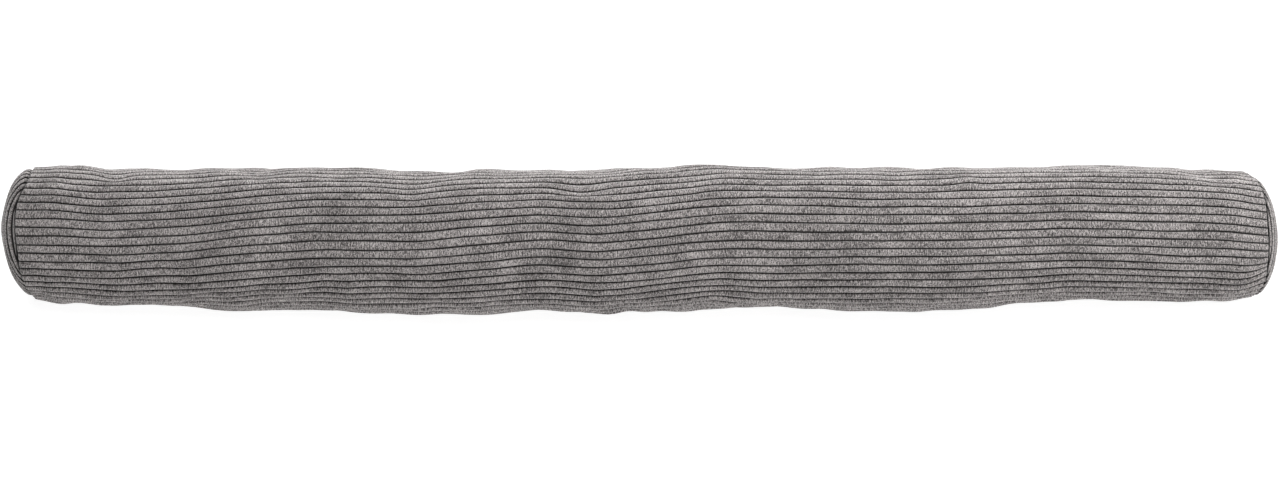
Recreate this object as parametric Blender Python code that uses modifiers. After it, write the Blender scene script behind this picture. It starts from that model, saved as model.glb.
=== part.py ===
"""A draught excluder in wide-wale corduroy: a filled tube with a round panel sewn into each end.

It lies on a flat surface along X, pressed flat where it touches. Metres, +Z up.
The origin is below the middle of the tube, on the surface.
"""

import math
from collections import namedtuple

import bpy
import numpy as np

MM = 0.001

# The whole thing
WALES = 52  # ribs of the corduroy round the tube
CLOTH_RADIUS = 0.0505  # the radius that the tube's cloth was cut for
WALE_DEPTH = 0.0013  # from a rib's crown down to its groove
FACING = math.radians(35)  # how far above the front the outlines below were read

# How the weight presses the tube on the surface
PRESSED = 0.0032  # how far the round section sinks into its flat spot
LIFT_OFF = 0.002  # how softly the cloth leaves the surface beside the flat spot

# The tube's sections: the place along the tube, how far the tube strays backwards there,
# its radius, and how far the cloth is turned about the tube's own line.
SECTION_COLUMNS = ("x_mm", "back_mm", "radius_mm", "turn_deg")
SECTIONS = np.array(
    [
        (-434, 8.0, 48.6, 22.7),
        (-410, 6.0, 48.8, 22.2),
        (-368, 3.1, 48.5, 22.8),
        (-325, 1.9, 48.5, 19.3),
        (-283, -2.6, 50.3, 13.4),
        (-240, -0.3, 49.5, 10.5),
        (-198, -3.6, 50.6, 7.7),
        (-155, -6.2, 49.9, 4.7),
        (-113, -7.3, 51.0, 1.5),
        (-70, -2.7, 49.5, 0.5),
        (-28, -6.1, 51.0, 1.2),
        (15, -3.4, 51.3, -1.4),
        (57, 0.2, 51.0, -3.9),
        (100, 1.1, 49.5, -4.9),
        (142, -3.4, 51.3, -5.9),
        (185, -3.6, 51.0, -6.4),
        (227, -1.4, 50.3, -6.6),
        (270, 5.5, 48.5, -4.9),
        (312, 9.2, 48.1, -3.3),
        (354, 8.0, 48.1, -3.0),
        (397, 7.4, 46.7, -3.4),
        (434, 8.3, 46.4, 0.8),
    ]
)

# The crease at the seam of an end panel, and how the tube's sections come to match the seam
CREASE_DEPTH = 0.0046  # how far the seam lies below the shoulder's crown
CREASE_WIDTH = 0.0008  # from the crown in to the seam
SEAM_FADE = 0.6  # how much shallower the ribs are at the shoulder's crown
REACH = 0.060  # over this length the sections take on the seam's own place and tilt
CROWD = 0.8  # how much of the cloth that the tube draws in crowds together at its back

# The ends: where the seam lies along the tube, its radius over the tube's, the length of the
# shoulder over which the tube is drawn in to it, how far its upper edge leans in and its top
# and foot lie further in than its front, then the height of the panel's dome, how far its
# middle is pushed up, and its roundness: 0.5 is a half ellipse, 1 a parabola.
End = namedtuple("End", "side seam share shoulder lean saddle dome push roundness")
ENDS = {
    "end_panel_left": End(-1, 0.4320, 0.932, 0.026, 0.0, 0.0028, 0.0165, 0.0035, 0.60),
    "end_panel_right": End(1, 0.4355, 0.920, 0.020, 0.0020, 0.0013, 0.0135, -0.0025, 0.75),
}
PANEL_THICKNESS = 0.0022  # the cloth from its back to the grooves
PANEL_WALES = 14  # ribs across a panel
PANEL_ROWS = 8  # steps along a rib
RIM_GAP = 0.0006  # between the seam in the tube and the panel's rim
RIM_DEPTH = 0.0015  # how far the rim's edge lies in from the seam
BACK_GAP = 0.0011  # between the panel's back and the filling behind it
TIP_SHARE = 0.99  # the panel's last groove over its radius
CAP_SHARES = (0.97, 0.75, 0.4)  # the rings of the filling's end, over the panel's radius

# The closing seam along the tube, a deeper groove low on its back
CLOSING_SEAM = math.radians(236)
CLOSING_SEAM_DEPTH = 0.0024

# One rib of the solid: for each point its place across the rib and its depth, as shares
RIB_POINTS = ((0.0, 1.0), (0.24, 0.0), (0.76, 0.0))
BODY_ROWS = 22
SHOULDER_ROWS = (0.0, 0.4, 0.75, 1.0)  # from the tube to the shoulder's crown

COLOUR = (0.262, 0.252, 0.250)  # a warm mid grey
SHARP = math.radians(50)  # edges sharper than this stay hard when shaded

UP = np.array((0.0, math.sin(FACING), math.cos(FACING)))
NEAR = np.array((0.0, -math.cos(FACING), math.sin(FACING)))


def clear_scene():
    for thing in list(bpy.data.objects):
        bpy.data.objects.remove(thing, do_unlink=True)


def section(name, x):
    """A column of SECTIONS at the place x, on a smooth cubic through its rows."""
    places = SECTIONS[:, 0] * MM
    values = SECTIONS[:, SECTION_COLUMNS.index(name)]
    slopes = np.gradient(values, places)
    x = np.clip(x, places[0], places[-1])
    row = np.clip(np.searchsorted(places, x) - 1, 0, len(places) - 2)
    step = places[row + 1] - places[row]
    t = (x - places[row]) / step
    rise = t * t * (3 - 2 * t)
    return (
        values[row] * (1 - rise)
        + values[row + 1] * rise
        + slopes[row] * step * t * (1 - t) ** 2
        - slopes[row + 1] * step * t * t * (1 - t)
    )


def pressed(z):
    """The height of a point once the surface stops it, leaving the surface softly."""
    soft = (z + LIFT_OFF) ** 2 / (4 * LIFT_OFF)
    return np.where(z > LIFT_OFF, z, np.where(z > -LIFT_OFF, soft, 0.0))


def tube_line(x):
    """The middle of the tube at the place x."""
    height = section("radius_mm", x) * MM - PRESSED
    return np.stack([x, section("back_mm", x) * MM, height], axis=-1)


def seam_place(end, up, near, out):
    """A point near an end, from its distances up, towards the front and out from the seam."""
    share = up / crown_radius(end)
    inward = end.lean * share + end.saddle * share**2
    middle = tube_line(np.array(end.side * end.seam))
    placed = middle + up[..., None] * UP + near[..., None] * NEAR
    placed[..., 0] = end.side * (end.seam + out - inward)
    return placed


def crown_radius(end):
    """The radius of the shoulder's crown, beside the seam."""
    return section("radius_mm", end.side * end.seam) * MM * end.share


def seam_radius(end):
    """The radius of the seam's crease, into which the panel's rim fits."""
    return crown_radius(end) - CREASE_WIDTH


def around(x, share, angles):
    """The angles of the cloth's points, from the viewing direction, at a place along the tube.

    Where the tube is thinner than its cloth, the ribs keep their width at the front and
    crowd together at the back.
    """
    angles = angles - np.radians(section("turn_deg", x))
    thin = CLOTH_RADIUS / (section("radius_mm", x) * MM * share) - 1
    return angles + CROWD * thin * np.sin(angles)


def rib_columns():
    """The angle from the first groove and the depth of each point round the tube."""
    across, depth = np.array(RIB_POINTS).T
    angles = (np.arange(WALES)[:, None] + across).ravel() * 2 * math.pi / WALES
    depths = np.tile(depth, WALES) * WALE_DEPTH
    closing = round((CLOSING_SEAM - FACING) / (2 * math.pi) * WALES)
    depths[closing * len(across)] = CLOSING_SEAM_DEPTH
    return angles, depths


def ring_places():
    """The places along the tube of its ribbed rings, closer together on the shoulders."""
    left, right = (end.side * (end.seam - end.shoulder) for end in ENDS.values())
    left_rows = [left - ENDS["end_panel_left"].shoulder * t for t in SHOULDER_ROWS[::-1]]
    right_rows = [right + ENDS["end_panel_right"].shoulder * t for t in SHOULDER_ROWS]
    return [*left_rows, *np.linspace(left, right, BODY_ROWS)[1:-1], *right_rows]


def ring(x):
    """The points of one ring of the tube, with its ribs, its flat spot and its end's tilt."""
    end = ENDS["end_panel_right" if x > 0 else "end_panel_left"]
    inset = end.seam - abs(x)
    drawn_in = np.clip(1 - inset / end.shoulder, 0, 1)
    share = 1 - (1 - end.share) * drawn_in**2
    t = np.clip(1 - inset / REACH, 0, 1)
    blend = t * t * (3 - 2 * t)
    angles, depths = rib_columns()
    radius = section("radius_mm", x) * MM
    reach = radius * share - depths * (1 - SEAM_FADE * drawn_in)
    angles = around(x, share, angles)
    up, near = reach * np.sin(angles), reach * np.cos(angles)
    points = tube_line(np.array(x)) + up[:, None] * UP + near[:, None] * NEAR
    lift = up / crown_radius(end)
    points[:, 0] -= end.side * blend * (end.lean * lift + end.saddle * lift**2)
    points[:, 2] = pressed(points[:, 2])
    return points


def dome(end, share):
    """How far a panel stands out at a share of its radius, and its slope there."""
    height = end.dome + RIM_DEPTH
    left = 1 - share**2
    out = height * left**end.roundness - RIM_DEPTH
    slope = -2 * end.roundness * height * share * left ** (end.roundness - 1)
    return out, slope / (seam_radius(end) - RIM_GAP)


def dome_points(end, up, near, raised):
    """Points on a panel, raised along its normal from the level of the grooves."""
    radius = seam_radius(end) - RIM_GAP
    far = np.hypot(up, near)
    out, slope = dome(end, np.minimum(far / radius, TIP_SHARE))
    steep = np.hypot(1, slope)
    scale = 1 - raised * slope / steep / np.maximum(far, 1e-6)
    pushed = end.push * (1 - np.minimum(far / radius, 1) ** 2)
    return seam_place(end, up * scale + pushed, near * scale, out + raised / steep)


def cap_rings(end, angles):
    """The filling's own domed end behind a panel: rings with one point for each wale."""
    radius = seam_radius(end) - RIM_GAP
    raised = -(PANEL_THICKNESS + BACK_GAP)
    rings = []
    for share in CAP_SHARES:
        up, near = radius * share * np.sin(angles), radius * share * np.cos(angles)
        rings.append(dome_points(end, up, near, raised))
    centre = dome_points(end, np.zeros(1), np.zeros(1), raised)
    return rings, centre


def crease_ring(end):
    """The foot of the crease between the tube's shoulder and a panel, and its grooves' angles."""
    angles, _ = rib_columns()
    angles = around(end.side * end.seam, end.share, angles)
    radius = seam_radius(end)
    up, near = radius * np.sin(angles), radius * np.cos(angles)
    out = np.full_like(up, -CREASE_DEPTH)
    return seam_place(end, up, near, out), angles[:: len(RIB_POINTS)]


def band(first, second, count):
    """The faces between two rings of the same count of points."""
    at = np.arange(count)
    after = (at + 1) % count
    return np.stack([first + at, first + after, second + after, second + at], axis=1)


def tube_mesh():
    """The tube's points and faces: ribbed rings, a crease at each end and a domed cap."""
    count = WALES * len(RIB_POINTS)
    creases = {end: crease_ring(end) for end in ENDS.values()}
    left, right = (crease for crease, _ in creases.values())
    rings = [left, *(ring(x) for x in ring_places()), right]
    points = np.concatenate(rings)
    faces = []
    for number in range(len(rings) - 1):
        faces += band(number * count, (number + 1) * count, count).tolist()
    for end, (_, angles) in creases.items():
        caps, centre = cap_rings(end, angles)
        rim = 0 if end.side < 0 else (len(rings) - 1) * count
        made = cap_faces(rim, len(points), len(caps))
        points = np.concatenate([points, *caps, centre])
        faces += [face[::-1] for face in made] if end.side < 0 else made
    return points, faces


def cap_faces(rim, first, count):
    """The faces of a domed cap, from the ribbed rim in to its middle point."""
    per_wale = len(RIB_POINTS)
    count_round = WALES * per_wale
    faces = []
    for wale in range(WALES):
        after = (wale + 1) % WALES
        outer = [rim + (wale * per_wale + k) % count_round for k in range(per_wale + 1)]
        faces.append([*outer, first + after, first + wale])
    for number in range(count - 1):
        start = first + number * WALES
        faces += band(start, start + WALES, WALES).tolist()
    last = first + (count - 1) * WALES
    middle = first + count * WALES
    faces += [[last + k, last + (k + 1) % WALES, middle] for k in range(WALES)]
    return faces


def panel_mesh(end):
    """The outside of an end panel, a domed disc with straight ribs: its points and faces."""
    radius = seam_radius(end) - RIM_GAP
    across, depth = np.array(RIB_POINTS).T
    grooves = np.arange(PANEL_WALES)[:, None] + across
    columns = np.append(grooves.ravel(), PANEL_WALES) / PANEL_WALES
    deep = np.append(np.tile(depth, PANEL_WALES), 1.0)
    near = (2 * columns - 1) * radius * TIP_SHARE
    half = np.sqrt(radius**2 - near**2)
    along = np.linspace(-1, 1, PANEL_ROWS + 1)
    up = half[:, None] * along
    near = np.repeat(near[:, None], len(along), axis=1)
    fade = 1 - np.clip(np.hypot(up, near) / radius, 0, 1) ** 8
    raised = WALE_DEPTH * (1 - deep)[:, None] * fade
    points = dome_points(end, up.ravel(), near.ravel(), raised.ravel())
    grid = np.arange(up.size).reshape(up.shape)
    quads = np.stack([grid[:-1, :-1], grid[1:, :-1], grid[1:, 1:], grid[:-1, 1:]], axis=-1)
    return points, quads.reshape(-1, 4).tolist()


def corduroy(name, colour):
    """A matt pile cloth of one colour."""
    material = bpy.data.materials.new(name)
    material.use_nodes = True
    shader = material.node_tree.nodes["Principled BSDF"]
    shader.inputs["Base Color"].default_value = (*colour, 1.0)
    shader.inputs["Roughness"].default_value = 0.95
    shader.inputs["Metallic"].default_value = 0.0
    shader.inputs["Sheen Weight"].default_value = 0.3
    return material


def add_solid(name, points, faces, material, collection):
    mesh = bpy.data.meshes.new(name)
    mesh.from_pydata(points.tolist(), [], faces)
    mesh.materials.append(material)
    mesh.validate()
    if facing_out(mesh) < 0:
        mesh.flip_normals()
    mesh.shade_smooth()
    mesh.set_sharp_from_angle(angle=SHARP)
    solid = bpy.data.objects.new(name, mesh)
    collection.objects.link(solid)
    return solid


def facing_out(mesh):
    """How far a mesh's faces point away from the middle of the tube; below 0 they face it."""
    return sum(face.center.dot(face.normal) * face.area for face in mesh.polygons)


def add_cloth(panel):
    """Gives a panel's outside the thickness of its cloth, inwards."""
    cloth = panel.modifiers.new("cloth", "SOLIDIFY")
    cloth.thickness = PANEL_THICKNESS
    cloth.offset = -1


def main():
    clear_scene()
    collection = bpy.data.collections.new("draught_excluder")
    bpy.context.scene.collection.children.link(collection)
    tube_points, tube_faces = tube_mesh()
    low, high = tube_points.min(axis=0), tube_points.max(axis=0)
    shapes = {name: panel_mesh(end) for name, end in ENDS.items()}
    ends = np.concatenate([points for points, _ in shapes.values()])
    low, high = np.minimum(low, ends.min(axis=0)), np.maximum(high, ends.max(axis=0))
    to_origin = -np.array([(low[0] + high[0]) / 2, (low[1] + high[1]) / 2, low[2]])
    cloth = corduroy("tube_corduroy", COLOUR)
    add_solid("filled_tube", tube_points + to_origin, tube_faces, cloth, collection)
    for name, (points, faces) in shapes.items():
        cloth = corduroy(f"{name}_corduroy", COLOUR)
        add_cloth(add_solid(name, points + to_origin, faces, cloth, collection))


main()
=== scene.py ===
import math

import bpy
import numpy as np
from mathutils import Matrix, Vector


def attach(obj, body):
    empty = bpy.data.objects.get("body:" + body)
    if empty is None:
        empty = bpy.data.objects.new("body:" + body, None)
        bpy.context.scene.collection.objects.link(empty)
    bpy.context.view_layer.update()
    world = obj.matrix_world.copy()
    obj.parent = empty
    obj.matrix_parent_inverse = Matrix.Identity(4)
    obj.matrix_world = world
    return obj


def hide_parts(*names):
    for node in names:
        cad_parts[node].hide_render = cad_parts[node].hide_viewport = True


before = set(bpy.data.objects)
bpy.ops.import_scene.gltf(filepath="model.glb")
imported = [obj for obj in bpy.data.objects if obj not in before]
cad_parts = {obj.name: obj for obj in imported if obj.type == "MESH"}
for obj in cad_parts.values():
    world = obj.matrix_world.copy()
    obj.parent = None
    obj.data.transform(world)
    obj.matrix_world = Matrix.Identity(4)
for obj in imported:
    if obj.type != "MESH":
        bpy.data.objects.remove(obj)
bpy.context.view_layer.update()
print("draught excluder: the packed solids are loaded")

mm = 0.001
fullTurn = 2 * math.pi
alongScale = 10  # a place along the cloth is kept in tenths of a metre, beside its wale's number

# How the whole thing lies, as its solids do
lie = {
    "wales": 52,  # ribs round the tube
    "waleWidth": 6.1 * mm,
    "clothRadius": 50.5 * mm,  # the tube's cloth was cut for this radius
    "crowd": 0.8,  # how much of the cloth that the tube draws in gathers at its back
    "facing": math.radians(35),  # the way from which the sections were read
    "pressed": 3.2 * mm,  # how far the round section sinks on the floor
    "liftOff": 2.0 * mm,  # how softly the cloth leaves the floor
    "shift": (-0.314 * mm, 0.486 * mm, 0.0),  # from the tube's own line to the solids' origin
}
upward = np.array((0.0, math.sin(lie["facing"]), math.cos(lie["facing"])))
nearward = np.array((0.0, -math.cos(lie["facing"]), math.sin(lie["facing"])))

# Sections of the tube: place along it, how far it strays back, its radius (all three in mm)
# and how far the cloth is turned (degrees)
sections = np.array([
    (-434, 8.0, 48.6, 22.7), (-410, 6.0, 48.8, 22.2), (-368, 3.1, 48.5, 22.8),
    (-325, 1.9, 48.5, 19.3), (-283, -2.6, 50.3, 13.4), (-240, -0.3, 49.5, 10.5),
    (-198, -3.6, 50.6, 7.7), (-155, -6.2, 49.9, 4.7), (-113, -7.3, 51.0, 1.5),
    (-70, -2.7, 49.5, 0.5), (-28, -6.1, 51.0, 1.2), (15, -3.4, 51.3, -1.4),
    (57, 0.2, 51.0, -3.9), (100, 1.1, 49.5, -4.9), (142, -3.4, 51.3, -5.9),
    (185, -3.6, 51.0, -6.4), (227, -1.4, 50.3, -6.6), (270, 5.5, 48.5, -4.9),
    (312, 9.2, 48.1, -3.3), (354, 8.0, 48.1, -3.0), (397, 7.4, 46.7, -3.4),
    (434, 8.3, 46.4, 0.8),
])

# The two ends. seam: how far its plane is from the middle. share: how much of its radius the
# tube keeps there, and shoulder: over which length it is drawn in.
# seamLine: round the seam, from the front up (degrees), how far it runs in (mm).
# bulge: the same, how far the panel's side stands out over its own round (mm).
# shows: the same, how dark the painted shade in the valley is, 1 at most.
# profile: the panel from its middle, 0, to its rim, 1: the share of the radius, and how far
# out from the seam (mm). It comes up steeply from the seam, so a valley lies there.
# push: how far up its middle is pushed. firstGroove: the place of its outermost near groove.
ends = {
    "left": {
        "side": -1, "seam": 432.0 * mm, "share": 0.932, "shoulder": 26 * mm,
        "seamLine": [(-180, 4.0), (-120, 5.0), (-85, 5.4), (-62, 4.2), (-53, 2.9), (-40, 1.3),
                     (-15, 0.1), (2, -1.0), (18, -1.1), (28, -0.3), (38, 1.8), (47, 4.0),
                     (56, 5.2), (70, 5.6), (90, 5.0), (140, 4.5), (180, 4.0)],
        "bulge": [(-180, 0.0), (-120, 0.0), (-90, -0.4), (-70, -1.2), (-48, -1.5), (-20, 0.0), (0, 0.0),
                  (50, 0.2), (90, -0.2), (180, 0.0)],
        "shows": [(-180, 1.0), (30, 1.0), (48, 0.75), (62, 0.3), (100, 0.3), (130, 1.0), (180, 1.0)],
        "profile": [(0.0, 0.0, 18.2), (0.15, 0.165, 17.3), (0.3, 0.34, 15.3), (0.5, 0.58, 12.3),
                    (0.65, 0.755, 9.6), (0.755, 0.872, 6.5), (0.82, 0.932, 4.2), (0.875, 0.958, 2.8),
                    (0.925, 0.967, 1.5), (0.965, 0.955, 0.5), (1.0, 0.925, -0.9)],
        "push": 3.5 * mm, "firstGroove": 42.8 * mm,
    },
    "right": {
        "side": 1, "seam": 435.5 * mm, "share": 0.920, "shoulder": 20 * mm,
        "seamLine": [(-180, 3.0), (-120, 4.0), (-92, 3.2), (-66, 0.1), (-51, -2.4), (-26, -2.5),
                     (-10, -2.5), (10, -1.8), (28, -1.6), (37, -1.2), (49, -0.1), (60, 1.6),
                     (74, 5.0), (86, 8.5), (100, 10.0), (120, 9.0), (150, 6.0), (180, 3.0)],
        "bulge": [(-180, 0.0), (-100, 0.4), (-60, 0.8), (-30, 0.2), (0, 0.0), (35, 0.4), (60, 0.4),
                  (90, -0.5), (180, 0.0)],
        "shows": [(-180, 1.0), (0, 1.0), (180, 1.0)],
        "profile": [(0.0, 0.0, 15.2), (0.2, 0.22, 14.3), (0.38, 0.42, 12.5), (0.57, 0.635, 9.9),
                    (0.71, 0.78, 7.2), (0.84, 0.896, 4.4), (0.91, 0.948, 2.7), (0.955, 0.962, 1.4),
                    (0.98, 0.95, 0.4), (1.0, 0.92, -0.9)],
        "push": -3.0 * mm, "firstGroove": 37.2 * mm,
    },
}

# What the hand and the filling did to the tube: place along (mm), angle from the front up, reach
# along (mm) and round, how far out it stands (mm), and how far the wales stray round. The angles
# are in degrees.
dents = [
    (444, -56, 15, 24, 0.0, 18.0),
    (-423, -66, 9, 6, -1.6, 0.0),
    (-398, 64, 9, 9, -0.9, 3.0),
    (-366, 60, 10, 8, -0.8, -3.0),
    (-330, 66, 12, 8, -0.7, 3.0),
    (-40, 47, 18, 8, -1.0, -3.0),
    (-8, -84, 9, 18, -1.5, 0.0),
    (42, 66, 14, 10, -0.9, 4.0),
    (48, -64, 16, 12, 0.6, 5.0),
    (78, -62, 14, 12, -0.6, -4.0),
    (228, 53, 8, 8, -0.9, 4.0),
    (247, -86, 12, 18, 1.3, 0.0),
    (284, -72, 12, 12, -0.8, 5.0),
    (-170, -72, 22, 12, -0.9, -5.0),
    (-140, -66, 12, 9, 0.6, 4.0),
]

# Where a wale's points lie, from one groove, 0, to the next, 1
acrossWale = (0.0, 0.06, 0.15, 0.3, 0.5, 0.7, 0.85, 0.94)


def throughRows(places, values, at):
    # a cubic through the rows, whose slope at each row is that between its neighbours
    places, values = np.asarray(places, float), np.asarray(values, float)
    slopes = np.gradient(values, places)
    at = np.clip(at, places[0], places[-1])
    row = np.clip(np.searchsorted(places, at) - 1, 0, len(places) - 2)
    step = places[row + 1] - places[row]
    t = (at - places[row]) / step
    rise = t * t * (3 - 2 * t)
    bend = slopes[row] * (1 - t) - slopes[row + 1] * t
    return values[row] * (1 - rise) + values[row + 1] * rise + bend * step * t * (1 - t)


def roundSeam(table, angle):
    # a table of degrees and millimetres read at an angle in radians, as a length
    degrees, values = np.array(table, float).T
    turned = (np.degrees(angle) + 180) % 360 - 180
    return throughRows(degrees, values, turned) * mm


def softNoise(u, v, seed, waves=24):
    # the sum of sine waves, each with its own direction, start and length of about 1, over the
    # root of their number: mostly between -1 and 1, and the same each run
    draw = np.random.default_rng(seed)
    total = np.zeros(np.broadcast(u, v).shape)
    for _ in range(waves):
        way, phase = draw.uniform(0, fullTurn, 2)
        length = draw.uniform(0.7, 1.4)
        total += np.sin((u * math.cos(way) + v * math.sin(way)) * fullTurn / length + phase)
    return total / math.sqrt(waves)


def walePoints(first, last):
    # the number of each wale plus the places of its points
    return (np.arange(first, last)[:, None] + np.array(acrossWale)).ravel()


def grooveShape(wale, flatness):
    # the way from mid-wale, 0, to its grooves, 1, to the power of the flatness
    return np.abs(2 * (wale % 1) - 1) ** flatness


def outwardOf(points, closed):
    # the way out at each point of a grid: the cross product of its two directions
    if closed:
        about = np.roll(points, -1, axis=1) - np.roll(points, 1, axis=1)
    else:
        about = np.gradient(points, axis=1)
    along = np.gradient(points, axis=0)
    out = np.cross(about, along)
    return out / np.maximum(np.linalg.norm(out, axis=-1, keepdims=True), 1e-12)


def quadsOf(rows, columns, closed):
    # four corners of each face of a grid, as row and column numbers
    row, column = np.meshgrid(np.arange(rows - 1), np.arange(columns - (not closed)), indexing="ij")
    return np.stack([
        np.stack([row, column], -1), np.stack([row, column + 1], -1),
        np.stack([row + 1, column + 1], -1), np.stack([row + 1, column], -1),
    ], axis=2).reshape(-1, 4, 2)


def volumeSign(points, faces):
    # whether the faces look outwards: the sign of the volume that they close in, which is the
    # sum over their corners a, b, c, d of (a x b) . c + (a x c) . d
    a, b, c, d = (points[faces[:, k]] for k in range(4))
    return np.sign((np.cross(a, b) * c).sum() + (np.cross(a, c) * d).sum())


def addPiece(name, points, faces, corners, seamShade, material):
    # a mesh from points, faces, the place in the cloth of each face corner and, for each
    # point, how much painted shade of a seam's valley it takes
    mesh = bpy.data.meshes.new(name)
    mesh.from_pydata(points.tolist(), [], faces)
    cloth = mesh.uv_layers.new(name="cloth")
    cloth.data.foreach_set("uv", corners.astype(np.float32).ravel())
    mesh.attributes.new("seamShade", "FLOAT", "POINT").data.foreach_set("value", seamShade.astype(np.float32))
    mesh.materials.append(material)
    mesh.shade_smooth()
    mesh.update()
    piece = bpy.data.objects.new(name, mesh)
    bpy.context.scene.collection.objects.link(piece)
    return piece


tubeCloth = {
    "rows": 216,  # rings along the tube, of which so many at each end are closer together
    "endRows": 12, "endLength": 30 * mm,
    "waleDepth": 1.4 * mm,
    "flatness": 4.5,  # the power of the wale's crown: higher is flatter, with a thinner groove
    # below this height, and fully so that much lower, the grooves are deeper and wider by a share
    "slackBelow": 75 * mm, "slackOver": 40 * mm, "slackDeeper": 0.90, "slackWider": 0.40,
    "fade": 0.35,  # how much shallower the grooves are at the seam
    "closingWale": 29,  # the closing seam runs in this groove, low on the back
    "closingDepth": 2.4 * mm,
    "closingWidth": 0.12,  # to each side, in wales
    "seamHolds": 3.0,  # so many wales beside it stray less than the others
    "seamReach": 60 * mm,  # over this length the tube takes on the way an end's seam runs
    "drawnAtMost": 1.3,  # how far past the seam's plane the drawing in goes on, from 1 there

    # How unevenly it lies: length along, width in wales, seed of the draw, and how much. The
    # first three are how far the wales wander round, in wales, and the others how far the
    # cloth stands out.
    "wander": (110 * mm, 16, 3, 0.10),  # many wales together
    "ownWander": (60 * mm, 1.6, 5, 0.035),  # each on its own
    "looseWander": (55 * mm, 3.5, 11, 0.16),  # where it lies loosely
    "unevenness": (45 * mm, 7, 8, 0.25 * mm),
    "looseness": (34 * mm, 3, 12, 0.35 * mm),
    # it lies loosely above and below, from this sine of the angle and fully over that range
    "looseFrom": 0.7, "looseOver": 0.3,
    "looseAbove": 0.5,  # how loosely it lies above, where it is 1 below

    "lip": 1.2 * mm,  # how round the cloth turns in to the seam
    "lipTurns": (30, 65, 100, 140, 180),  # where its rings lie on the half circle (degrees)
    "lipShadeFrom": 0.9, "lipShadeOver": 1.2,  # from where and over how far it takes painted shade (radians)
    "seamDepth": 4.6 * mm,
    "domeRings": (1.0, 0.85, 0.6, 0.3, 0.04),  # of the filling behind a panel, in its radius
    "domeGap": 1.1 * mm,  # between the filling and the panel
}


def sectionAt(name, x):
    # one value of the sections at the place x
    number = ("x", "back", "radius", "turn").index(name)
    scale = 1 if name == "turn" else mm
    return throughRows(sections[:, 0] * mm, sections[:, number], x) * scale


def pressed(points):
    # Points as the floor keeps them: those below it come up to it over a short soft bend, where
    # the new height is the square of height + soft, over 4 soft.
    soft, z = lie["liftOff"], points[..., 2:]
    bent = (z + soft) ** 2 / (4 * soft)
    z = np.where(z > soft, z, np.where(z > -soft, bent, 0.0))
    return np.concatenate([points[..., :2], z], axis=-1)


def tubeLine(x):
    # the middle of the tube: it strays back, and lies a radius above its flat strip
    line = np.stack([x, sectionAt("back", x), sectionAt("radius", x) - lie["pressed"]], axis=-1)
    return line + np.array(lie["shift"])


def endOf(x, name):
    # a value of the end that x is nearer to: the left one's below 0, or else the right one's
    return np.where(x < 0, ends["left"][name], ends["right"][name])


def seamRuns(x, angle):
    # how far the seam of the end that x is nearer to runs in, at each angle
    left, right = (roundSeam(ends[end]["seamLine"], angle) for end in ("left", "right"))
    return np.where(x < 0, left, right)


def drawnShare(x, inset):
    # the share of its radius that the tube keeps at a way in from the seam's plane: a parabola
    drawn = np.clip(1 - inset / endOf(x, "shoulder"), 0, tubeCloth["drawnAtMost"])
    return 1 - (1 - endOf(x, "share")) * drawn**2


def fromClosing(wale):
    # how many wales it is from the closing seam, to one side or the other
    half = lie["wales"] / 2
    return (wale - tubeCloth["closingWale"] + half) % lie["wales"] - half


def uneven(kind, x, wale, share=1.0):
    # soft noise over that kind's length and number of wales, times the share and how much
    length, wales, seed, most = tubeCloth[kind]
    return softNoise(x / length, wale / wales, seed) * share * most


def tubeSkin(x, wale):
    # The smooth tube under its wales: the line, plus the radius along the way out at the
    # wale's angle. Near an end each ring runs the way that the seam does, and the radius is
    # drawn in towards it. The cloth lies less evenly above and below than at the front, and
    # the closing seam holds it: one less a bell curve of the wales between.
    cloth = tubeCloth
    side, seam = endOf(x, "side"), endOf(x, "seam")
    inset = seam - np.abs(x)
    run = np.clip(1 - inset / cloth["seamReach"], 0, 1)
    run = run * run * (3 - 2 * run)
    free = 1 - np.exp(-((fromClosing(wale) / cloth["seamHolds"]) ** 2))
    stray = uneven("wander", x, wale) + uneven("ownWander", x, wale)
    angle = (wale + stray * free) / lie["wales"] * fullTurn - np.radians(sectionAt("turn", x))
    high = np.sin(angle)
    loose = np.clip((np.abs(high) - cloth["looseFrom"]) / cloth["looseOver"], 0, 1) ** 2
    loose = loose * np.where(high < 0, 1, cloth["looseAbove"])
    angle = angle + uneven("looseWander", x, wale, loose) / lie["wales"] * fullTurn
    # where the tube is thinner than its cloth was cut for, the wales crowd round to the back
    radius = sectionAt("radius", x)
    share = drawnShare(x, inset + run * seamRuns(x, angle))
    thinner = lie["clothRadius"] / (radius * share) - 1
    angle = angle + lie["crowd"] * thinner * np.sin(angle)
    share = drawnShare(x, inset + run * seamRuns(x, angle))
    out = uneven("unevenness", x, wale) * free + uneven("looseness", x, wale, loose)
    for place, way, along, about, stands, strays in dents:
        off = (np.degrees(angle) - way + 180) % 360 - 180
        bump = np.exp(-(((x / mm - place) / along) ** 2) - (off / about) ** 2)
        out = out + stands * mm * bump
        angle = angle + math.radians(strays) * bump
    outward = np.sin(angle)[..., None] * upward + np.cos(angle)[..., None] * nearward
    points = tubeLine(x) + (radius * share + out)[..., None] * outward
    points[..., 0] -= side * run * seamRuns(x, angle)
    return points


filling = {
    "along": 160, "round": 104,  # points of the cloth that is blown up
    "frames": 20,
    "quality": 5,
    "pressure": 4.0,
    "slack": 0.03,  # how much longer the cloth is than the tube
    "gather": 0.06,  # how much shorter the seams hold it
    "sewnRows": 4,  # and over how many rows
    "bending": 1.5,
    "endRings": (0.8, 0.5, 0.2),  # the rings that close its ends, as shares of their radius
    "broadWaves": 5, "broadRows": 15,  # round and along, what counts as the tube's own outline
    "cap": 0.8 * mm,  # no point moves further than this
    "keep": 0.35,  # how much of the move counts
}


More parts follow.
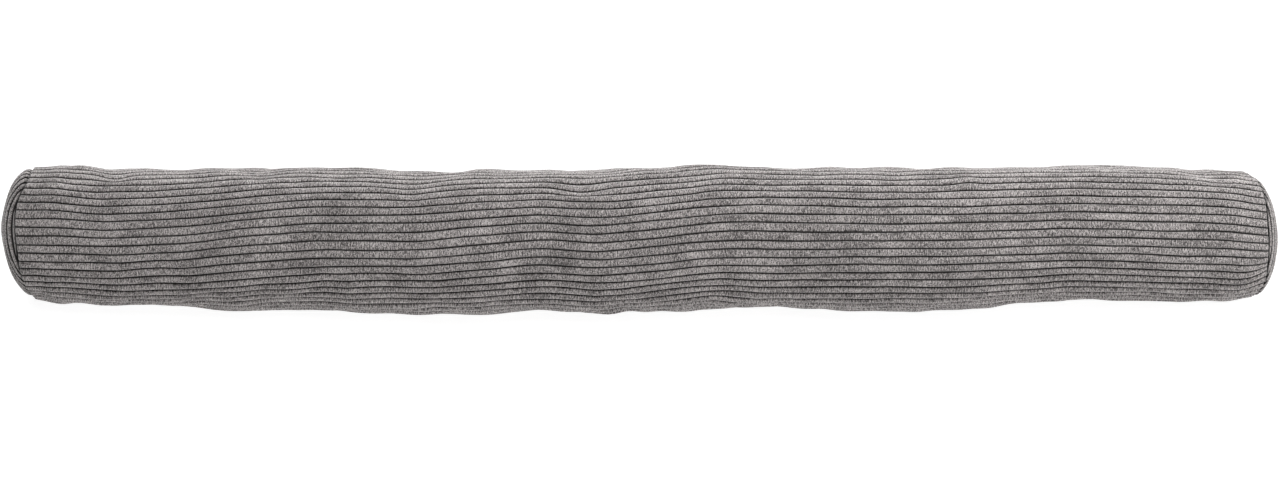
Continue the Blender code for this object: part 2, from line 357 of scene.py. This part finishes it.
def fillCloth(left, right):
    # The tube's smooth cloth, closed at its ends, is blown up by the cloth simulation with a
    # little slack, held short at its seams. What counts is each point's move, less its broad
    # part, which would change the tube's own outline: the first few waves round the tube,
    # averaged along it. The rest, times keep, is held under the cap by a tanh of its size.
    along = np.linspace(left, right, filling["along"])
    wale = np.arange(filling["round"]) * lie["wales"] / filling["round"] + tubeCloth["closingWale"]
    points = pressed(tubeSkin(*np.meshgrid(along, wale, indexing="ij")))
    rows, columns = points.shape[:2]
    endRows = ((0, 0), (1, rows - 1))
    rings = [points]
    for share in filling["endRings"]:
        for end, row in endRows:
            middle = points[row].mean(0)
            rings.append((middle + (points[row] - middle) * share)[None])
    flat = np.concatenate(rings).reshape(-1, 3)
    flat = np.concatenate([flat, [points[0].mean(0), points[-1].mean(0)]])
    corners = quadsOf(rows, columns, True)
    faces = (corners[..., 0] * columns + corners[..., 1] % columns).tolist()
    at = np.arange(columns)
    after = (at + 1) % columns
    for end, row in endRows:
        path = [row] + [rows + 2 * ring + end for ring in range(len(filling["endRings"]))]
        for one, other in zip(path[:-1], path[1:]):
            ring = [one * columns + at, other * columns + at,
                    other * columns + after, one * columns + after]
            faces += np.stack(ring if end else ring[::-1], axis=1).tolist()
        last = path[-1] * columns
        fan = [last + at, last + after, np.full(columns, len(flat) - 2 + end)]
        faces += np.stack([fan[1], fan[0], fan[2]] if end else fan, axis=1).tolist()
    mesh = bpy.data.meshes.new("blown_cloth")
    mesh.from_pydata(flat.tolist(), [], faces)
    mesh.update()
    blown = bpy.data.objects.new("blown_cloth", mesh)
    bpy.context.scene.collection.objects.link(blown)
    held = blown.vertex_groups.new(name="held")
    seams = np.concatenate([at, (rows - 1) * columns + at, np.arange(rows * columns, len(flat))])
    held.add(seams.tolist(), 1.0, "REPLACE")
    sewn = blown.vertex_groups.new(name="sewn")
    for row in range(filling["sewnRows"]):
        both = np.concatenate([row * columns + at, (rows - 1 - row) * columns + at])
        sewn.add(both.tolist(), 1 - row / filling["sewnRows"], "REPLACE")
    cloth = blown.modifiers.new("cloth", "CLOTH")
    how = cloth.settings
    how.quality = filling["quality"]
    how.use_pressure = True
    how.uniform_pressure_force = filling["pressure"]
    how.vertex_group_mass = "held"
    how.pin_stiffness = 1.0
    how.shrink_min = -filling["slack"]
    how.shrink_max = filling["gather"]
    how.vertex_group_shrink = "sewn"
    how.bending_stiffness = filling["bending"]
    how.effector_weights.gravity = 0
    cloth.collision_settings.use_collision = False
    cloth.point_cache.frame_end = filling["frames"]
    scene = bpy.context.scene
    for number in range(1, filling["frames"] + 1):
        scene.frame_set(number)
    made = blown.evaluated_get(bpy.context.evaluated_depsgraph_get()).data
    moved = np.empty(len(flat) * 3)
    made.vertices.foreach_get("co", moved)
    scene.frame_set(1)
    bpy.data.objects.remove(blown, do_unlink=True)
    move = moved.reshape(-1, 3)[:rows * columns].reshape(rows, columns, 3) - points
    print("  the cloth moved by up to", round(float(np.abs(move).max()) / mm, 1), "mm")
    broad = np.fft.rfft(move, axis=1)
    broad[:, filling["broadWaves"]:] = 0
    broad = np.fft.irfft(broad, columns, axis=1)
    window = np.hanning(filling["broadRows"])
    window = window / window.sum()
    half = filling["broadRows"] // 2
    padded = np.pad(broad, ((half, half), (0, 0), (0, 0)), mode="edge")
    broad = sum(weight * padded[k:k + rows] for k, weight in enumerate(window))
    move = (move - broad) * filling["keep"]
    size = np.linalg.norm(move, axis=-1, keepdims=True)
    move = move * np.tanh(size / filling["cap"]) * filling["cap"] / np.maximum(size, 1e-9)
    return along, move


def spread(move, rowAt, columnAt):
    # a closed grid's values read between its points: the sum of the 16 nearest, each times the
    # cubic B-spline shares of how far it lies off along and round
    def shares(t):
        return ((1 - t) ** 3 / 6, (3 * t**3 - 6 * t**2 + 4) / 6,
                (-3 * t**3 + 3 * t**2 + 3 * t + 1) / 6, t**3 / 6)
    row, column = np.floor(rowAt).astype(int), np.floor(columnAt).astype(int)
    total = 0
    for down, one in enumerate(shares(rowAt - row)):
        where = np.clip(row + down - 1, 0, len(move) - 1)[:, None]
        for over, other in enumerate(shares(columnAt - column)):
            near = move[where, (column + over - 1) % move.shape[1]]
            total = total + near * (one[:, None] * other)[..., None]
    return total


def endPlace(end, share, angle, radius, out):
    # A point of an end, at an angle round the tube's line: a radius from it, a way out from
    # the seam's plane. At the rim, share 1, it follows the seam; the middle is pushed up.
    middle = tubeLine(np.array(end["side"] * end["seam"]))
    up = radius * np.sin(angle) + end["push"] * (1 - share**2)
    near = radius * np.cos(angle)
    points = middle + up[..., None] * upward + near[..., None] * nearward
    runs = roundSeam(end["seamLine"], angle) * share**4
    points[..., 0] = end["side"] * (end["seam"] + out - runs) + lie["shift"][0]
    return points


def crownRadius(end, angle=0.0):
    # the tube's radius where the seam cuts it
    x = np.array(end["side"] * end["seam"])
    return sectionAt("radius", x) * drawnShare(x, roundSeam(end["seamLine"], angle))


def creaseRings(ribbed, smooth, end):
    # From the last ring the cloth turns in over a small lip, a half circle, goes straight
    # down into the seam beside the panel, and closes in a dome behind the panel.
    lip, deep = tubeCloth["lip"], tubeCloth["seamDepth"]
    middle = tubeLine(np.array(end["side"] * end["seam"]))
    inward = middle - smooth
    inward[:, 0] = 0
    inward = inward / np.linalg.norm(inward, axis=1, keepdims=True)
    outwards = np.array((end["side"], 0.0, 0.0))
    rings = []
    turns = np.radians(tubeCloth["lipTurns"])
    for turn in turns:
        even = math.sin(turn / 2) ** 2
        start = ribbed * (1 - even) + smooth * even
        rings.append(start + lip * (math.sin(turn) * outwards + (1 - math.cos(turn)) * inward))
    for depth in (deep / 2, deep):
        rings.append(smooth + 2 * lip * inward - depth * outwards)
    angle = np.arctan2(-inward @ upward, -inward @ nearward)
    for share in tubeCloth["domeRings"]:
        rings.append(endPlace(end, share, angle, *insideShape(end, share, angle, tubeCloth["domeGap"])))
    # painted shade of the seam's valley: the lip darkens as it turns in, the ring halfway down the seam is
    # as dark as the valley is set there, and the rest is fully dark
    shows = roundSeam(end["shows"], angle) / mm
    seamShade = np.clip((turns - tubeCloth["lipShadeFrom"]) / tubeCloth["lipShadeOver"], 0, 1)[:, None] * shows
    seamShade = np.concatenate([seamShade, shows[None], np.ones((len(rings) - len(turns) - 1, len(shows)))])
    return np.array(rings), seamShade


def makeTube(material):
    # The smooth tube on a grid of rings and wales, plus the simulated cloth's move, pressed to
    # the floor, less a depth along the way out: the wale's depth times grooveShape, more low
    # down and less at the seams, or the closing seam's bell curve where that is deeper. The
    # rings of a crease go on from each end, and a fan of faces closes each dome.
    cloth = tubeCloth
    first = cloth["closingWale"]
    wale = walePoints(0, lie["wales"]) + first
    left, right = (ends[end]["side"] * (ends[end]["seam"] - cloth["lip"]) for end in ("left", "right"))
    length = cloth["endLength"]
    even = np.linspace(left + length, right - length, cloth["rows"] - 2 * cloth["endRows"])
    closer = length * (1 - np.cos(np.linspace(0, math.pi / 2, cloth["endRows"], endpoint=False)))
    x = np.concatenate([left + closer, even, (right - closer)[::-1]])
    placeX, placeWale = np.meshgrid(x, wale, indexing="ij")
    points = tubeSkin(placeX, placeWale)
    along, move = fillCloth(left, right)
    rowAt = np.interp(x, along, np.arange(len(along)))
    columnAt = (wale - first) / lie["wales"] * filling["round"]
    points = pressed(points + spread(move, rowAt, columnAt))
    out = outwardOf(points, True)
    half = len(x) // 2
    if (out[half] * (points[half] - points[half].mean(0))).sum() < 0:
        out = -out
    inset = endOf(placeX, "seam") - np.abs(placeX)
    drawn = np.clip(1 - inset / endOf(placeX, "shoulder"), 0, 1)
    # low down, where the tube's weight slackens the cloth, its grooves are deeper and wider
    slack = np.clip((cloth["slackBelow"] - points[..., 2]) / cloth["slackOver"], 0, 1)
    flatness = cloth["flatness"] * (1 - cloth["slackWider"] * slack)
    depth = cloth["waleDepth"] * (1 + cloth["slackDeeper"] * slack) * (1 - cloth["fade"] * drawn)
    closing = cloth["closingDepth"] * np.exp(-((fromClosing(placeWale) / cloth["closingWidth"]) ** 2))
    deep = np.maximum(depth * grooveShape(placeWale, flatness), closing * (1 - drawn))
    smooth = points
    points = points - out * deep[..., None]
    rings, seamShades = [], []
    for row, end in ((0, ends["left"]), (-1, ends["right"])):
        ring, seamShade = creaseRings(points[row], smooth[row], end)
        rings.append(ring)
        seamShades.append(seamShade)
    points = np.concatenate([rings[0][::-1], points, rings[1]])
    # painted shade of the seams' valleys: the tube's own rings take none
    seamShade = np.concatenate([seamShades[0][::-1], np.zeros(placeX.shape), seamShades[1]])
    seamShade = np.append(seamShade.ravel(), (1.0, 1.0))
    arc = np.arange(1, len(rings[0]) + 1) * cloth["lip"]
    along = np.concatenate([x[0] - arc[::-1], x, x[-1] + arc])
    rows, columns = points.shape[:2]
    corners = quadsOf(rows, columns, True)
    faces = corners[..., 0] * columns + corners[..., 1] % columns
    flat = points.reshape(-1, 3)
    if volumeSign(flat, faces) < 0:
        corners, faces = corners[:, ::-1], faces[:, ::-1]
    waleAt = np.append(wale, wale[0] + lie["wales"])
    places = np.stack([waleAt[corners[..., 1]], along[corners[..., 0]] * alongScale], axis=-1)
    places = places.reshape(-1, 2)
    faces = faces.tolist()
    for row, side, dome in ((0, -1, rings[0]), (rows - 1, 1, rings[1])):
        ring = row * columns + np.arange(columns)
        fan = np.stack([ring, np.roll(ring, -1), np.full(columns, len(flat))], axis=1)
        flat = np.concatenate([flat, dome[-1].mean(0)[None]])
        turned = np.cross(flat[fan[:, 1]] - flat[fan[:, 0]], flat[fan[:, 2]] - flat[fan[:, 0]]).sum(0)
        if turned[0] * side < 0:
            fan = fan[:, ::-1]
        faces += fan.tolist()
        places = np.concatenate([places, np.zeros((3 * columns, 2))])
    return addPiece("corduroy_tube", flat, faces, places, seamShade, material)


panelCloth = {
    "rows": 60,
    "waleWidth": 6.0 * mm,
    "waleDepth": 1.7 * mm,
    "sunk": 0.8,  # how much of that depth lies below the smooth outside
    "flatness": 2.8,
    "thickness": 2.4 * mm,
    "walesEachSide": 8,  # more than there is room for: those past the rim are left out
    "firstNumber": 7,  # of an end's firstGroove, counted from the middle
    "widest": 0.998,  # how near the widest round a wale's points may come
    "rimPlaces": (0.94, 0.96, 0.98, 0.9985),  # columns from the last wale to the rim
    "rimGap": 0.004,
    "overDome": 1.1,  # how much longer the cloth is over the dome than across the tube
    "rimFade": 24,  # the power with which the ribs fade out towards the rim
    "rimFrom": 0.9999,  # the rim itself isn't sunk
    "readings": 400,  # of the profile
    # the inside: its width as a share of the seam's radius, the power of its dome, and how
    # far its rim lies in from the seam's plane
    "insideWidth": 0.915, "insidePower": 0.66, "insideBelow": 1 * mm,
    "rimShadeBelow": 1.1, "rimShadeOver": 0.8,  # how far out from the seam it takes painted shade, and how softly (mm)
    "flatWidth": 0.98,  # the flat round in the seam's radius: its rim lies inside the tube's edge
}


def insideShape(end, share, angle, further):
    # the inside of a panel, or the filling a little further in: a plain dome, 1 - share^2
    # to a power, inside the panel's own profile
    cloth = panelCloth
    height = end["profile"][0][2] * mm - cloth["thickness"] + cloth["insideBelow"]
    radius = (cloth["insideWidth"] * crownRadius(end, angle) - further / 2) * share
    dome = (height - further) * (1 - share**2) ** cloth["insidePower"]
    return radius, dome - cloth["insideBelow"] - further


def panelSkin(end, share, angle):
    # The smooth outside of a panel: its profile, read at the share of the flat round, times
    # the seam's radius, which varies round the rim and less towards the middle, and the bulge
    # of its side times 27/4 share^4 (1 - share^2), which is 1 where it is highest.
    rows = np.array(end["profile"])
    crown = crownRadius(end) * (1 - share**2) + crownRadius(end, angle) * share**2
    radius = throughRows(rows[:, 0], rows[:, 1], share) * crown
    radius = radius + roundSeam(end["bulge"], angle) * 27 / 4 * share**4 * (1 - share**2)
    return endPlace(end, share, angle, radius, throughRows(rows[:, 0], rows[:, 2], share) * mm)


def makePanel(name, end, material):
    # The flat round's columns lie along the wales; each wale is as wide as the cloth's where
    # it crosses the middle, so its place in the flat round is read back from the profile. The
    # wales stand up by their depth less grooveShape's share of it, and fade out at the rim.
    cloth = panelCloth
    crown = crownRadius(end)
    profile = np.array(end["profile"])
    flatShare = np.linspace(0, profile[profile[:, 1].argmax(), 0], cloth["readings"])
    realShare = throughRows(profile[:, 0], profile[:, 1], flatShare)
    wale = walePoints(-cloth["walesEachSide"], cloth["walesEachSide"] + 1)
    near = end["firstGroove"] - cloth["firstNumber"] * cloth["waleWidth"] + wale * cloth["waleWidth"]
    inside = np.abs(near) < realShare[-1] * crown * cloth["widest"]
    wale, near = wale[inside], near[inside]
    place = np.sign(near) * np.interp(np.abs(near) / crown, realShare, flatShare)
    rim = np.array(cloth["rimPlaces"])
    rim = rim[rim > np.abs(place).max() + cloth["rimGap"]]
    stretch = crown * cloth["overDome"] / cloth["waleWidth"]
    wale = np.concatenate([
        wale[0] - (rim + place[0])[::-1] * stretch, wale, wale[-1] + (rim - place[-1]) * stretch,
    ])
    place = np.concatenate([-rim[::-1], place, rim])
    t = np.sin(np.linspace(-1, 1, cloth["rows"]) * math.pi / 2)
    up = t[:, None] * np.sqrt(1 - place**2)
    over = np.broadcast_to(place, up.shape)
    share, angle = np.minimum(np.hypot(up, over), 1.0), np.arctan2(up, over)
    outer = panelSkin(end, share, angle)
    out = outwardOf(outer, False)
    if out[len(t) // 2, len(place) // 2, 0] * end["side"] < 0:
        out = -out
    ribs = 1 - grooveShape(wale, cloth["flatness"])
    raised = cloth["waleDepth"] * ribs[None] * (1 - share ** cloth["rimFade"])
    stands = (raised - cloth["waleDepth"] * cloth["sunk"])[..., None]
    ribbed = outer + out * stands * (share < cloth["rimFrom"])[..., None]
    inner = endPlace(end, share, angle, *insideShape(end, share, angle, 0.0))
    rows, columns = up.shape
    count = rows * columns
    corners = quadsOf(rows, columns, False)
    face = corners[..., 0] * columns + corners[..., 1]
    # the wall at the rim: the outside's edge, all the way round, joined to the inside's
    edge = np.concatenate([
        np.arange(columns), np.arange(1, rows) * columns + columns - 1,
        (rows - 1) * columns + np.arange(columns - 1)[::-1], np.arange(rows - 1)[:0:-1] * columns,
    ])
    after = np.roll(edge, -1)
    wall = np.stack([edge, after, after + count, edge + count], axis=1)[:, ::-1]
    faces = np.concatenate([face, face[:, ::-1] + count, wall])
    flat = np.concatenate([ribbed.reshape(-1, 3), inner.reshape(-1, 3)])
    if volumeSign(flat, faces) < 0:
        faces = faces[:, ::-1]
    along = up * crown * cloth["overDome"] * alongScale
    places = np.stack([np.broadcast_to(wale, up.shape), along], axis=-1).reshape(-1, 2)
    places = np.concatenate([places, places])[faces].reshape(-1, 2)
    # painted shade of the seam's valley: the panel darkens where it rises little from the seam, times how
    # dark the valley is round the rim; its inside is fully dark
    rise = throughRows(profile[:, 0], profile[:, 2], share)
    seamShade = np.clip((cloth["rimShadeBelow"] - rise) / cloth["rimShadeOver"], 0, 1)
    seamShade = seamShade * roundSeam(end["shows"], angle) / mm
    seamShade = np.concatenate([seamShade.ravel(), np.ones(count)])
    piece = addPiece(name, flat, faces.tolist(), places, seamShade, material)
    return piece, crown * cloth["flatWidth"]


class Wire:
    # one output of a node: a sum or product with it adds its Math node
    def __init__(self, recipe, socket):
        self.recipe, self.socket = recipe, socket

    def join(self, how, *parts):
        return self.recipe.node("ShaderNodeMath", {"operation": how}, dict(enumerate(parts)))

    def __add__(self, other):
        return self.join("ADD", self, other)

    def __radd__(self, other):
        return self.join("ADD", other, self)

    def __sub__(self, other):
        return self.join("SUBTRACT", self, other)

    def __rsub__(self, other):
        return self.join("SUBTRACT", other, self)

    def __mul__(self, other):
        return self.join("MULTIPLY", self, other)

    def __rmul__(self, other):
        return self.join("MULTIPLY", other, self)

    def __truediv__(self, other):
        return self.join("DIVIDE", self, other)

    def __rtruediv__(self, other):
        return self.join("DIVIDE", other, self)

    def __mod__(self, other):
        return self.join("FLOORED_MODULO", self, other)

    def __floordiv__(self, other):
        return self.join("FLOOR", self.join("DIVIDE", self, other))

    def __abs__(self):
        return self.join("ABSOLUTE", self)


class Recipe:
    # a material and its nodes
    def __init__(self, name):
        self.material = bpy.data.materials.new(name)
        self.material.use_nodes = True
        self.tree = self.material.node_tree
        self.shader = self.tree.nodes["Principled BSDF"]

    def feed(self, socket, value):
        # a wire is linked to the socket, and a plain value is set in it
        if isinstance(value, Wire):
            self.tree.links.new(value.socket, socket)
        else:
            socket.default_value = value

    def node(self, kind, settings=None, sockets=None, output=0):
        made = self.tree.nodes.new(kind)
        for setting, value in (settings or {}).items():
            setattr(made, setting, value)
        for socket, value in (sockets or {}).items():
            self.feed(made.inputs[socket], value)
        return Wire(self, made.outputs[output])

    def noise(self, where, scale=1.0, detail=2.0, roughness=0.5):
        sockets = {"Vector": where, "Scale": scale, "Detail": detail, "Roughness": roughness}
        return self.node("ShaderNodeTexNoise", {}, sockets)

    def place(self, x, y):
        return self.node("ShaderNodeCombineXYZ", {}, {0: x, 1: y})

    def ramp(self, value, low, high):
        # a soft rise from 0 at low to 1 at high
        sockets = {"Value": value, "From Min": low, "From Max": high}
        return self.node("ShaderNodeMapRange", {"interpolation_type": "SMOOTHSTEP"}, sockets)

    def blend(self, share, first, second):
        return self.node("ShaderNodeMix", {"data_type": "RGBA"}, {0: share, 6: first, 7: second}, 2)


corduroy = {
    "deep": (0.0125, 0.0112, 0.0107, 1.0),  # painted shade down in the grooves and the seams' valleys, in the grooves partly the darker ground weave
    "dull": (0.055, 0.0500, 0.0488, 1.0),  # pile that stands up
    "light": (0.600, 0.560, 0.550, 1.0),  # pile that lies over
    "grooveShadeFrom": 0.68, "grooveShadeTo": 0.92,  # where the painted shade of a groove starts, 0 mid-wale, and where it is full
    "barLength": 0.95 * mm, "barWidth": 2.6 * mm,  # tufts stand in short bars across a wale
    "tuft": 0.85 * mm, "tuftDetail": 3.0, "tuftRoughness": 0.75,
    "stretch": 24 * mm,  # how long a wale keeps one tone
    "apart": 7.31,  # how far apart in the noise two wales are read, so that each has its own tone
    "patch": 14 * mm, "broadPatch": 55 * mm,
    # how much each of them changes the tone
    "tone": 0.335, "barTone": 2.4, "tuftTone": 3.9, "stretchTone": 0.6, "patchTone": 0.5, "broadTone": 0.15,
    "allDull": -0.25, "allLight": 1.25,  # the tones at which the pile is all dull and all light
    "tuftHeight": 0.6 * mm,
    "roughness": 0.93, "tuftShine": 0.1,
    "sheen": 0.6, "sheenRoughness": 0.4, "sheenTint": (1.0, 0.985, 0.975, 1.0),
    "specular": 0.15,
}


def makeCorduroy(name, values):
    # The tone is its plain value plus each noise, less its middle of 0.5, times how much it
    # counts. It goes from dull pile to light, and to the deep colour, painted shade, by the greater
    # of two: how near a place is to a groove of its wale, and the painted shade of a seam's valley.
    recipe = Recipe(name)
    cloth = {0: recipe.node("ShaderNodeUVMap", {"uv_map": "cloth"})}
    wale = recipe.node("ShaderNodeSeparateXYZ", {}, cloth, 0)
    along = recipe.node("ShaderNodeSeparateXYZ", {}, cloth, 1) * (1 / alongScale)
    ownPlace = recipe.node("ShaderNodeTexCoord", {}, {}, 3)
    across = wale * lie["waleWidth"]
    fromCrown = abs((wale % 1.0) * 2.0 - 1.0)
    # painted shade towards each groove, partly the darker ground weave between the wales
    groove = recipe.ramp(fromCrown, values["grooveShadeFrom"], values["grooveShadeTo"])
    bars = recipe.noise(recipe.place(across / values["barWidth"], along / values["barLength"]))
    tufts = recipe.noise(recipe.place(across / values["tuft"], along / values["tuft"]),
                         detail=values["tuftDetail"], roughness=values["tuftRoughness"])
    stretch = recipe.noise(recipe.place((wale // 1.0) * values["apart"], along / values["stretch"]))
    patch = recipe.noise(ownPlace, 1 / values["patch"])
    broad = recipe.noise(ownPlace, 1 / values["broadPatch"])
    tone = values["tone"]
    for noise, counts in ((bars, "barTone"), (tufts, "tuftTone"), (stretch, "stretchTone"),
                          (patch, "patchTone"), (broad, "broadTone")):
        tone = tone + (noise - 0.5) * values[counts]
    light = recipe.ramp(tone, values["allDull"], values["allLight"])
    pile = recipe.blend(light, values["dull"], values["light"])
    # the seams' painted shade, per point, and the greater of it and the grooves' painted shade
    seamShade = recipe.node("ShaderNodeAttribute", {"attribute_name": "seamShade"}, {}, 2)
    paintedShade = recipe.node("ShaderNodeMath", {"operation": "MAXIMUM"}, {0: groove, 1: seamShade})
    colour = recipe.blend(paintedShade, pile, values["deep"])
    height = bars * 0.5 + tufts * 0.5
    bump = recipe.node("ShaderNodeBump", {}, {"Height": height * (1 - paintedShade),
                                              "Distance": values["tuftHeight"], "Strength": 1.0})
    shader = recipe.shader.inputs
    recipe.feed(shader["Base Color"], colour)
    recipe.feed(shader["Normal"], bump)
    recipe.feed(shader["Roughness"], values["roughness"] - tufts * values["tuftShine"])
    recipe.feed(shader["Sheen Weight"], values["sheen"])
    recipe.feed(shader["Sheen Roughness"], values["sheenRoughness"])
    recipe.feed(shader["Sheen Tint"], values["sheenTint"])
    recipe.feed(shader["Specular IOR Level"], values["specular"])
    return recipe.material


print("cloth: corduroy materials")
tubeMaterial = makeCorduroy("tube_corduroy_cloth", corduroy)
# the panels' grooves take a wider band of painted shade
endMaterial = makeCorduroy("end_corduroy_cloth", {**corduroy, "grooveShadeFrom": 0.45, "grooveShadeTo": 0.78})
print("tube")
tube = makeTube(tubeMaterial)
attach(tube, "root")
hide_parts("filled_tube")
print("end panels")
for end in ends:
    piece, radius = makePanel(f"corduroy_end_{end}", ends[end], endMaterial)
    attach(piece, "root")
    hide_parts(f"end_panel_{end}")
    2 * radius
    2 * radius
    math.pi * radius**2

studio = {
    "floor": (0.24, 0.24, 0.24, 1.0), "floorGlow": 0.92, "floorRoughness": 0.9,
    "floorReach": 6,  # to each side
    "white": (1.0, 1.0, 1.0, 1.0),  # of the glow and the sky
    "sky": 0.06,
    # broad lights: how strong, place, size and what they are turned to
    "lights": {
        "over": (21.8, (0.0, 0.4, 2.3), (3.0, 1.2), (0.0, 0.0, 0.05)),
        "front": (26.5, (0.0, -0.9, 2.2), (3.0, 1.2), (0.0, 0.0, 0.05)),
        "back": (43.5, (0.0, 1.6, 0.8), (3.0, 0.8), (0.0, 0.0, 0.05)),
        "right": (6.6, (1.15, -0.1, 0.9), (0.6, 0.6), (0.33, 0.0, 0.05)),
        "corner": (9.7, (1.5, -1.0, 1.0), (0.8, 0.8), (0.33, 0.0, 0.05)),
    },
    "lens": 100.0, "film": 36.0, "distance": 2.502, "seesTo": 50.0,
    "aim": 0.0485, "aimLower": 0.0027,  # the height it is turned to, and a way down in its view
}


def makeStudio():
    # A square floor that glows a little, a pale sky and the lights. The camera stands at its
    # distance from the tube's middle, on the way from which the sections were read.
    far = studio["floorReach"]
    floor = bpy.data.meshes.new("pale_floor")
    floor.from_pydata([(-far, -far, 0), (far, -far, 0), (far, far, 0), (-far, far, 0)], [], [(0, 1, 2, 3)])
    recipe = Recipe("pale_floor")
    recipe.shader.inputs["Base Color"].default_value = studio["floor"]
    recipe.shader.inputs["Emission Color"].default_value = studio["white"]
    recipe.shader.inputs["Emission Strength"].default_value = studio["floorGlow"]
    recipe.shader.inputs["Roughness"].default_value = studio["floorRoughness"]
    floor.materials.append(recipe.material)
    floor = bpy.data.objects.new("pale_floor", floor)
    bpy.context.scene.collection.objects.link(floor)
    world = bpy.data.worlds.new("soft_studio")
    world.use_nodes = True
    sky = world.node_tree.nodes["Background"].inputs
    sky["Color"].default_value = studio["white"]
    sky["Strength"].default_value = studio["sky"]
    bpy.context.scene.world = world
    for name, values in studio["lights"].items():
        softLight(name, *values)
    camera = bpy.data.cameras.new("camera")
    camera.lens, camera.sensor_width = studio["lens"], studio["film"]
    camera.clip_end = studio["seesTo"]
    seen = bpy.data.objects.new("camera", camera)
    target = np.array((0.0, 0.0, studio["aim"])) - studio["aimLower"] * upward
    seen.location = target + nearward * studio["distance"]
    seen.rotation_euler = (math.pi / 2 - lie["facing"], 0.0, 0.0)
    bpy.context.scene.collection.objects.link(seen)
    bpy.context.scene.camera = seen
    bpy.context.scene.view_settings.view_transform = "Standard"


def softLight(name, energy, place, size, aim):
    # a broad light at a place, turned towards what it lights
    light = bpy.data.lights.new(name, "AREA")
    light.shape = "RECTANGLE"
    light.size, light.size_y = size
    light.energy = energy
    lamp = bpy.data.objects.new(name, light)
    lamp.location = place
    lamp.rotation_mode = "QUATERNION"
    lamp.rotation_quaternion = (Vector(aim) - Vector(place)).to_track_quat("-Z", "Y")
    bpy.context.scene.collection.objects.link(lamp)


print("studio")
makeStudio()
print("done")
